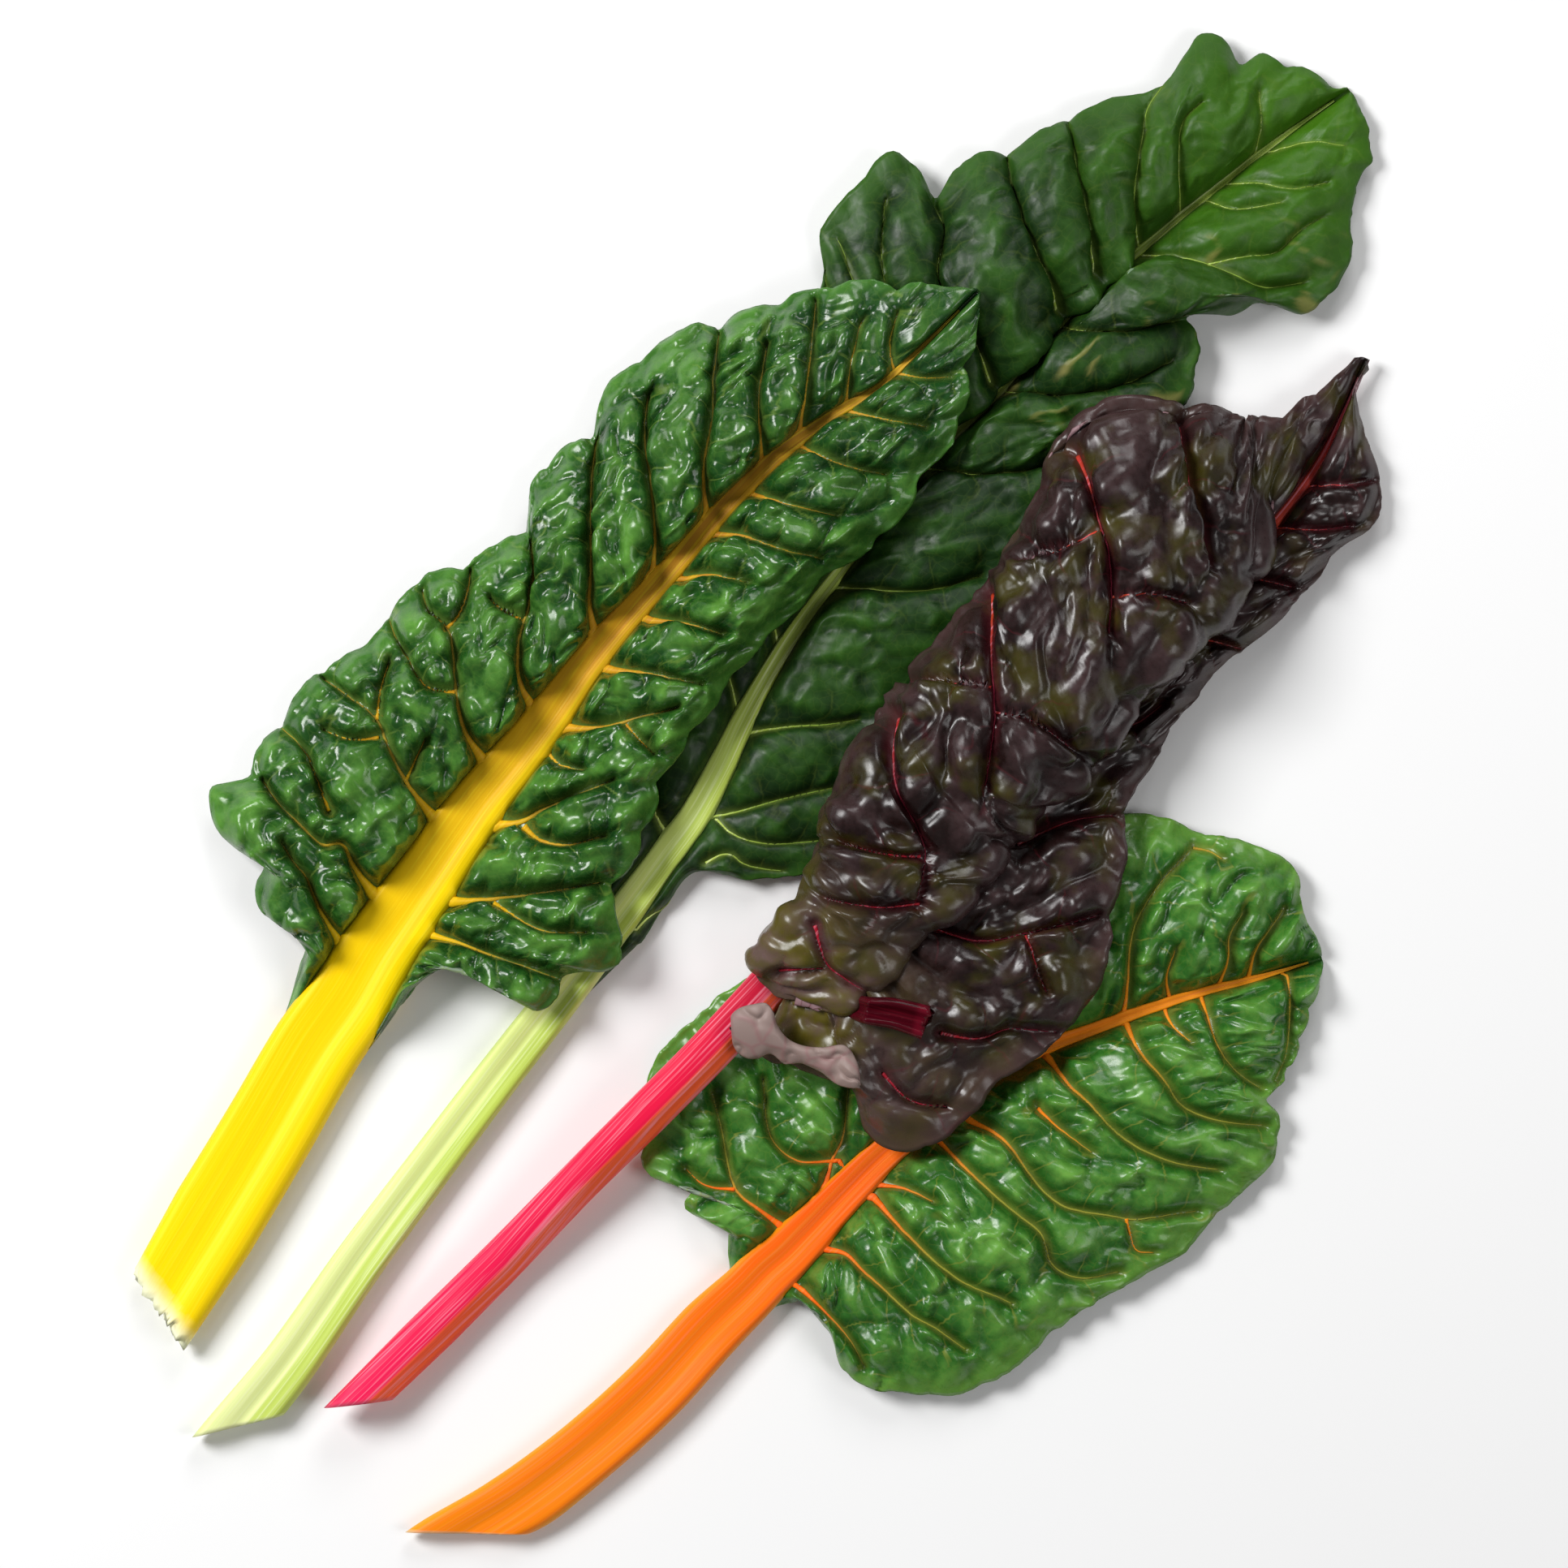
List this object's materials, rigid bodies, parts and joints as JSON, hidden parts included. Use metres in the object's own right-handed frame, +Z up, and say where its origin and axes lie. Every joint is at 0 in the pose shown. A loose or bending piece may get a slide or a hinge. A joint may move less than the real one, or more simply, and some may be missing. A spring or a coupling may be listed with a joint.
{
  "type": "swiss chard bunch",
  "caption": "Loose bunch of cut rainbow chard leaves lying flat and overlapping, with broad ribbed stalks and crinkled, veined blades.",
  "frame": {"origin": "on the surface the bunch lies on, under the middle of its bounding box", "axes": "+Y along the stalks from their cut ends to the leaf tips, +X to the right seen from above, +Z up"},
  "size_m": [0.2848, 0.4813, 0.0355],
  "materials": {
    "green_stalk": "moist waxy skin; pale green chard stalk",
    "green_blade": "waxy, satin; mid green leaf blade",
    "orange_stalk": "moist waxy skin; orange chard stalk",
    "orange_blade": "waxy, satin; green leaf blade",
    "yellow_stalk": "moist waxy skin; yellow chard stalk",
    "yellow_blade": "waxy, satin; deep green crinkled leaf blade",
    "red_stalk": "moist waxy skin; crimson chard stalk",
    "red_blade": "waxy, glossy; purple-brown leaf blade"
  },
  "bodies": {
    "root": {"green_stalk": "green_stalk", "green_blade": "green_blade", "orange_stalk": "orange_stalk", "orange_blade": "orange_blade", "yellow_stalk": "yellow_stalk", "yellow_blade": "yellow_blade", "red_stalk": "red_stalk", "red_blade": "red_blade"}
  },
  "joints": []
}
